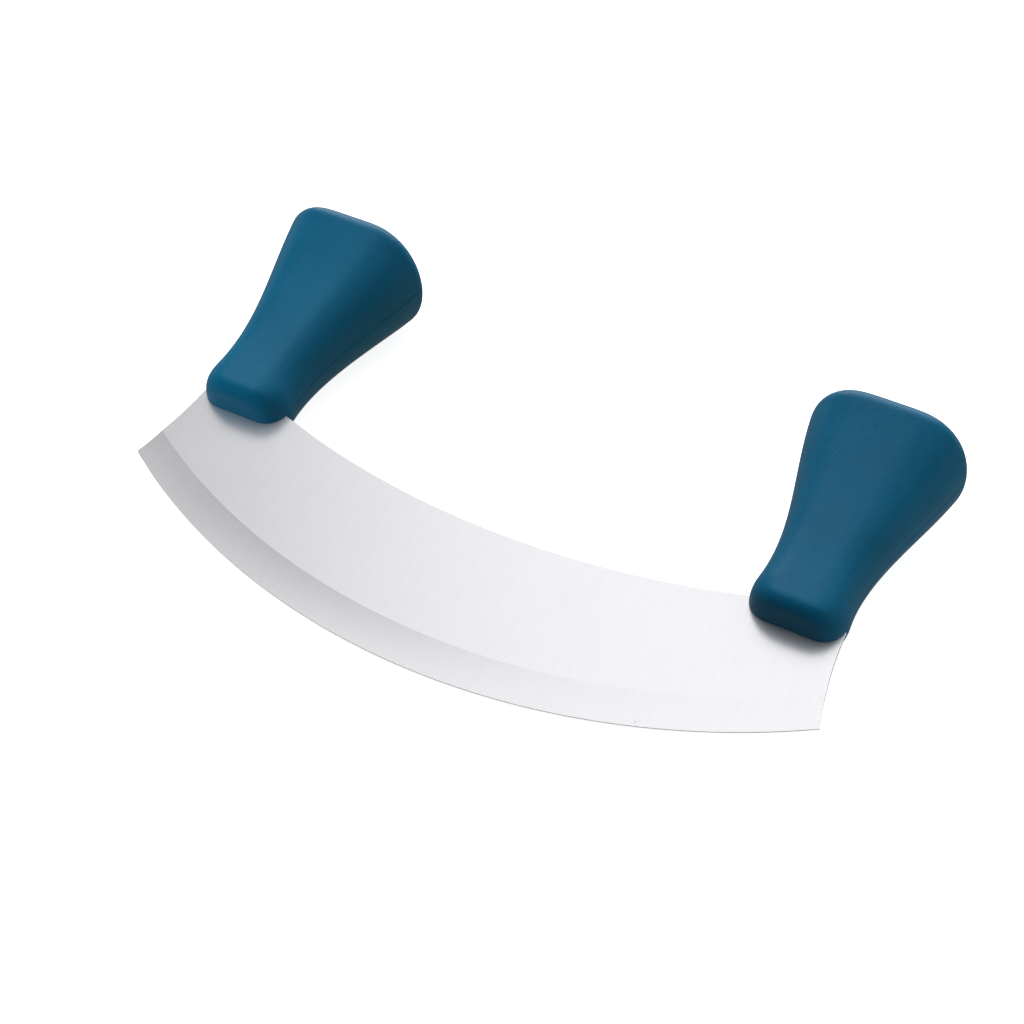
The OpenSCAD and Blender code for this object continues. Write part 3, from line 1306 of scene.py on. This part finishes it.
        width, depth = half_size("Width", sides), half_size("Depth", faces)
        seam = size["Seam Round"].math("MINIMUM", depth * self.SEAM_SHARE)
        roundness = size["Roundness"]
        first = ((seam / depth) ** (1.0 / roundness)).math("ARCSINE")
        rim = stretch(folded, 0, self.RIM_COLUMNS)
        rim_turn = rim * quarter
        skin = stretch(folded, self.RIM_COLUMNS, self.SKIN_COLUMNS)
        turn = between(skin * skin * (3.0 - skin * 2.0), first, quarter)
        out = turn.cosine().math("MAXIMUM", 0.0) ** roundness
        forth = turn.sine() ** roundness
        z = depth * forth - seam * rim_turn.cosine() - size["Skirt"] * (1.0 - rim)
        lean = 1.0 - size["Side Lean"] * forth * forth
        x = width * out * lean - seam * (1.0 - rim_turn.sine())
        back = stretch(column, 2 * middle, 1)
        x = x * (float(middle) - column).math("SIGN") * (1.0 - back * 2.0)
        lofted = moved(tree, new_grid(tree, columns, rows), x, height, z * size["Facing"])
        values = {"Mesh": lofted, "Selection": size["Facing"].math("GREATER_THAN", 0.0)}
        flipped = add_node(tree, "GeometryNodeFlipFaces", values).outputs[0]
        close_tree(tree, welded(tree, flipped, self.WELD), size["Material"], way_out)
        return tree

    def sizes(self, inset: float, facing: Facing, skirt: float = 0.0) -> dict[str, float]:
        """Gives the tree's inputs by name.

        Args:
            inset: How far the body lies inside the handle's skin.
            facing: The side of the seam that it lies on.
            skirt: How far it reaches back past the seam.

        Returns:
            The inputs.
        """
        sizes = {
            "Length": self.length,
            "Bottom Round": self.bottom_round,
            "Bottom Edge": self.bottom_edge,
            "Top Round": self.top_round,
            "Top Edge": self.top_edge,
            "Top Crown": self.top_crown,
            "Roundness": 2.0 / self.section_power,
            "Side Lean": self.side_lean,
            "Seam Round": 0.0 if inset else self.seam_round,
            "Inset": inset,
            "Skirt": skirt,
            "Facing": float(facing.value),
        }
        for i in range(4):
            sizes[f"Width {i + 1}"] = self.widths[i]
            sizes[f"Depth {i + 1}"] = self.depths[i]
        return sizes

    def sheet_plates(self, grow: float, reach: float) -> list[Mesh]:
        """Makes the blade and its tang as plates, grown, about the handle's middle."""
        sheet = [(px - self.x, py - self.y) for px, py in self.blade.outline(grow, self.notch)]
        return [plate(sheet, -reach, reach), plate(self.tang_outline(grow), -reach, reach)]

    def lip(self, gap: float, low: float, high: float) -> Mesh:
        """Makes the tongue along the inside of the rim, which the steel interrupts.

        Args:
            gap: How far it is grown.
            low: Its back.
            high: Its front.

        Returns:
            The closed mesh.
        """
        wide = self.widths[3]
        outer = plate(self.seam_outline(self.wall - self.tongue[0] - gap), low, high)
        inner = plate(self.seam_outline(self.wall), low - self.OVERCUT, high + self.OVERCUT)
        cuts = [(Step.CUT, mesh) for mesh in self.sheet_plates(self.tongue[0], wide)]
        return worked("lip", outer, [(Step.CUT, inner), *cuts])

    def shell(self, tree: Tree, facing: Facing, material: Material) -> Mesh:
        """Builds one shell of the right handle, about the handle's middle.

        Args:
            tree: The tree of the handle's body.
            facing: The shell's side of the blade.
            material: What it is made of.

        Returns:
            The closed mesh.
        """
        front = float(facing.value)
        wide = self.widths[3]
        half_sheet = self.blade.thickness / 2
        skin = grown(tree, self.sizes(0.0, facing), material)
        hollow = self.sizes(self.wall, facing, skirt=self.OVERCUT)
        steps = [(Step.CUT, grown(tree, hollow, material))]
        for rise in (sum(self.pin_rows) / 2, self.tang_rise + self.rib):
            inner = grown(tree, self.sizes(self.wall / 2, facing), material)
            low, high = sorted((0.0, front * wide))
            slab = block((-wide, rise - self.rib / 2, low), (wide, rise + self.rib / 2, high))
            steps.append((Step.FUSE, worked("rib", inner, [(Step.KEEP, slab)])))
        for rise in self.pin_rows:
            low, high = sorted((0.0, front * (self.half(self.depths, rise) - self.wall / 2)))
            steps.append((Step.FUSE, rod((0.0, rise), self.boss / 2, low, high)))
        sheets = self.sheet_plates(self.sheet_gap, half_sheet + self.sheet_gap)
        steps += [(Step.CUT, mesh) for mesh in sheets]
        for rise in self.pin_rows:
            depth = half_sheet + self.pin_grip + self.pin_room
            low, high = sorted((-front * self.OVERCUT, front * depth))
            steps.append((Step.CUT, rod((0.0, rise), self.socket / 2, low, high)))
        gap, depth = self.tongue_gap, self.tongue[1]
        if facing is Facing.FRONT:
            steps.append((Step.FUSE, self.lip(0.0, -depth, self.TONGUE_ROOT)))
        else:
            steps.append((Step.CUT, self.lip(gap, -depth - gap, self.OVERCUT)))
        return worked("shell", skin, steps)

    def build(self, plastic: Material) -> list[Object]:
        """Builds the four shells of both handles.

        Args:
            plastic: What they are made of.

        Returns:
            The pieces.
        """
        tree = self.tree()
        pieces = []
        for facing in Facing:
            mesh = self.shell(tree, facing, plastic)
            mesh.transform(Matrix.Translation((self.x, self.y, 0)))
            if facing is Facing.REAR:
                far = self.WORKTOP
                under = block((-far, -far, -far), (far, far, 0))
                under.transform(LAY.matrix.inverted() @ Matrix.Scale(MM, 4))
                mesh = worked("shell", mesh, [(Step.CUT, under)])
            for hand in Hand:
                own = mesh.copy() if hand is Hand.RIGHT else mirrored(mesh)
                own.shade_smooth()
                own.set_sharp_from_angle(angle=math.radians(self.crease))
                side, place = hand.name.lower(), facing.name.lower()
                name, node = f"{side}_{place}_shell", f"{side}_handle_{place}_shell"
                pieces.append(finish_piece(name, own, plastic, node))
        return pieces


@dataclass
class TangPins:
    """The steel pins that carry the blade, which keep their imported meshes."""

    nodes: tuple[str, str] = ("left_tang_pins", "right_tang_pins")

    def dress(self, packed: Mapping[str, Object], steel: Material) -> None:
        """Gives the pins their finish.

        Args:
            packed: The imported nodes.
            steel: The finish.
        """
        for name in self.nodes:
            pins = packed[name]
            for slot in pins.material_slots:
                slot.material = steel
            log.info("%s: keeps its packed mesh", name)


# Studio


@dataclass(frozen=True)
class Lamp:
    """A soft box, in metres.

    Attributes:
        name: Its name.
        place: Where it stands.
        aim: What it points at.
        size: Its width and height.
        power: Its power in watts.
        spread: How wide its light opens, in degrees.
        mirrored: Whether the handles mirror it. It then lights nothing else.
    """

    name: str
    place: tuple[float, float, float]
    aim: tuple[float, float, float]
    size: tuple[float, float]
    power: float
    spread: float = 180.0
    mirrored: bool = False

    def build(self) -> Object:
        """Hangs the lamp."""
        data = bpy.data.lights.new(self.name, "AREA")
        data.shape = "RECTANGLE"
        data.size, data.size_y = self.size
        data.energy = self.power
        data.spread = math.radians(self.spread)
        lamp = bpy.data.objects.new(self.name, data)
        lamp.location = self.place
        aim = Vector(self.aim) - Vector(self.place)
        lamp.rotation_euler = aim.to_track_quat("-Z", "Y").to_euler()
        lamp.visible_glossy = self.mirrored
        bpy.context.scene.collection.objects.link(lamp)
        if self.mirrored:
            lamp.light_linking.receiver_collection = plastic_pieces()
        return lamp


def plastic_pieces() -> bpy.types.Collection:
    """Gathers the handle shells, once they are in the scene."""
    pieces = bpy.data.collections.new("plastic pieces")
    for piece in bpy.context.scene.objects:
        if piece.name.endswith(("front_shell", "rear_shell")):
            pieces.objects.link(piece)
    return pieces


@dataclass
class Studio:
    """The plain pale surroundings and the camera.

    Attributes:
        sky: Strength of the soft light from all round.
        sky_slope: How much stronger it is from behind than from the side.
        floor_half: Half the width of the floor.
        floor_faces: Heights of its underside and its top.
        floor_tone: Its colour, to the light that it sends back.
        floor_dim: How bright it is in front, as a share of that.
        floor_dim_until: Where it turns from dim to full, from the front back.
        floor_white: Its colour, to the eye.
        floor_glow: How much light it gives off, to the eye.
        floor_mirrored: How bright shiny surfaces see it, near and far behind.
        floor_bright_from: Where it turns bright to them, from the front back.
        mirrored_turn: How much of the turn from dim to bright goes to the rear.
        mirrored_knee: Where the mirrored surroundings turn from dim to bright.
        mirrored_tone: How bright they are there.
        mirrored_fall: How fast they dim to the left of the knee.
        mirrored_gain: How fast they brighten to its right.
        mirrored_least: How bright they are where they are dimmest.
        mirrored_from: How far up they start, as the sine of the angle.
        mirrored_rise: How fast they brighten from there up.
        mirrored_front: How fast they dim towards the front.
        mirrored_blue: How much brighter they are in blue.
        camera_place: Where the camera stands.
        camera_turn: How it is turned, in degrees.
        sensor: Width of its sensor, in millimetres.
        lens: Its focal length, in millimetres.
        lamps: The soft boxes.
    """

    sky: float = 0.33
    sky_slope: float = 0.85
    floor_half: float = 3.0
    floor_faces: tuple[float, float] = (-0.02, -0.0001)
    floor_tone: Colour = (0.88, 0.92, 0.72)
    floor_dim: float = 0.2
    floor_dim_until: tuple[float, float] = (-0.09, 0.02)
    floor_white: Colour = (0.95, 0.95, 0.95)
    floor_glow: float = 0.85
    floor_mirrored: tuple[float, float] = (0.22, 1.4)
    floor_bright_from: tuple[float, float] = (0.18, 0.36)
    mirrored_turn: float = 0.35
    mirrored_knee: float = -0.242
    mirrored_tone: float = 1.19
    mirrored_fall: float = 6.0
    mirrored_gain: float = 0.02
    mirrored_least: float = 0.22
    mirrored_from: float = 0.3
    mirrored_rise: float = 2.5
    mirrored_front: float = 5.0
    mirrored_blue: float = 1.02
    camera_place: tuple[float, float, float] = (0.209173, -0.371649, 0.433663)
    camera_turn: tuple[float, float, float] = (44.86342, 0.36923, 29.07100)
    sensor: float = 36.0
    lens: float = 69.8332
    lamps: tuple[Lamp, ...] = (
        Lamp("key", (-0.35, 0.35, 1.4), (0.0, 0.0, 0.0), (1.0, 1.0), 12.6),
        Lamp("fill", (-0.3, -0.3, 0.06), (-0.13, 0.0, 0.02), (0.14, 0.08), 0.075, spread=50.0),
        Lamp("side", (0.5, -0.02, 0.04), (0.1, 0.0, 0.02), (0.2, 0.06), 0.4),
        Lamp("back", (-0.35, 1.1, 0.7), (0.0, 0.0, 0.0), (1.6, 0.9), 18.5, mirrored=True),
    )

    def build(self) -> None:
        """Sets up the light, the floor and the camera."""
        bpy.context.scene.view_settings.view_transform = "Standard"
        self.build_world()
        self.build_floor()
        self.build_camera()
        for lamp in self.lamps:
            lamp.build()
            log.info("lamp %s", lamp.name)

    def build_world(self) -> None:
        """Makes the even light, which the camera sees as white.

        Shiny surfaces see surroundings that go from dim on the left and front
        to bright on the right and rear.
        """
        world = bpy.data.worlds.new("surroundings")
        world.use_nodes = True
        bpy.context.scene.world = world
        tree = world.node_tree
        background = tree.nodes["Background"]
        path = tree.nodes.new("ShaderNodeLightPath").outputs
        source = tree.nodes.new("ShaderNodeTexCoord")
        x, y, z = place_fields(tree, source.outputs["Generated"])
        past = x + y * self.mirrored_turn - self.mirrored_knee
        turned = (past * self.mirrored_fall).math("MINIMUM", past * self.mirrored_gain)
        above = ((z - self.mirrored_from) * self.mirrored_rise).share()
        behind = (y * self.mirrored_front + 1.0).share()
        tone = (turned + self.mirrored_tone) * above * behind
        tone = tone.math("MAXIMUM", self.mirrored_least)
        values = {0: tone, 1: tone, 2: tone * self.mirrored_blue}
        around = add_node(tree, "ShaderNodeCombineColor", values)
        sky = (y * self.sky_slope + 1.0) * self.sky
        even = add_node(tree, "ShaderNodeCombineColor", {0: sky, 1: sky, 2: sky})
        lit = blended(tree, path["Is Glossy Ray"], even.outputs[0], around.outputs[0])
        shown = blended(tree, path["Is Camera Ray"], lit, rgba((1.0, 1.0, 1.0)))
        wire(tree, shown, background.inputs["Color"])
        background.inputs["Strength"].default_value = 1.0

    def build_floor(self) -> None:
        """Makes the floor, white to the eye and duller to the light."""
        half, (low, high) = self.floor_half, self.floor_faces
        mesh = block((-half, -half, low), (half, half, high))
        floor = linked("floor", mesh)
        material, tree, principled = new_material("floor")
        tree.nodes.remove(principled)
        way_out = tree.nodes["Material Output"]
        path = tree.nodes.new("ShaderNodeLightPath").outputs
        source = tree.nodes.new("ShaderNodeTexCoord")
        y = place_fields(tree, source.outputs["Object"])[1]

        def behind(start: float, end: float) -> Field:
            """Goes from 0 to 1 between two places, from the front back."""
            return ((y - start) / (end - start)).share()

        def shader(kind: str, values: Mapping[Union[int, str], Value]) -> Socket:
            """Adds a shader to the floor's tree."""
            return add_node(tree, f"ShaderNode{kind}", values).outputs[0]

        dim, full = shaded(self.floor_tone, self.floor_dim), rgba(self.floor_tone)
        tone = blended(tree, behind(*self.floor_dim_until), dim, full)
        bounce = shader("BsdfDiffuse", {"Color": tone})
        strength = between(behind(*self.floor_bright_from), *self.floor_mirrored)
        mirror = shader("Emission", {"Strength": strength})
        pale = shader("BsdfDiffuse", {"Color": rgba(self.floor_white)})
        glow = shader("Emission", {"Strength": self.floor_glow})
        white = shader("AddShader", {0: pale, 1: glow})
        unseen = shader("MixShader", {0: path["Is Glossy Ray"], 1: bounce, 2: mirror})
        whole = shader("MixShader", {0: path["Is Camera Ray"], 1: unseen, 2: white})
        tree.links.new(whole, way_out.inputs["Surface"])
        mesh.materials.append(material)

    def build_camera(self) -> None:
        """Puts the camera where the photograph was taken from."""
        data = bpy.data.cameras.new("camera")
        data.sensor_width = self.sensor
        data.lens = self.lens
        camera = bpy.data.objects.new("camera", data)
        camera.location = self.camera_place
        camera.rotation_euler = [math.radians(angle) for angle in self.camera_turn]
        bpy.context.scene.collection.objects.link(camera)
        bpy.context.scene.camera = camera


def main() -> None:
    """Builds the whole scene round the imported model."""
    logging.basicConfig(level=logging.INFO, format="%(message)s")
    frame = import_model()
    effects = Effects()
    plastic = MouldedPlastic().material("moulded_plastic", effects)
    steel = GroundSteel().material("ground_steel", effects)
    pin_steel = DRAWN_STEEL.material("drawn_steel", effects)
    blade = Blade()
    handle = Handle(blade)
    blade.build(handle, steel)
    handle.build(plastic)
    TangPins().dress(frame["nodes"], pin_steel)
    Studio().build()
    bpy.context.view_layer.update()


if __name__ == "__main__":
    main()
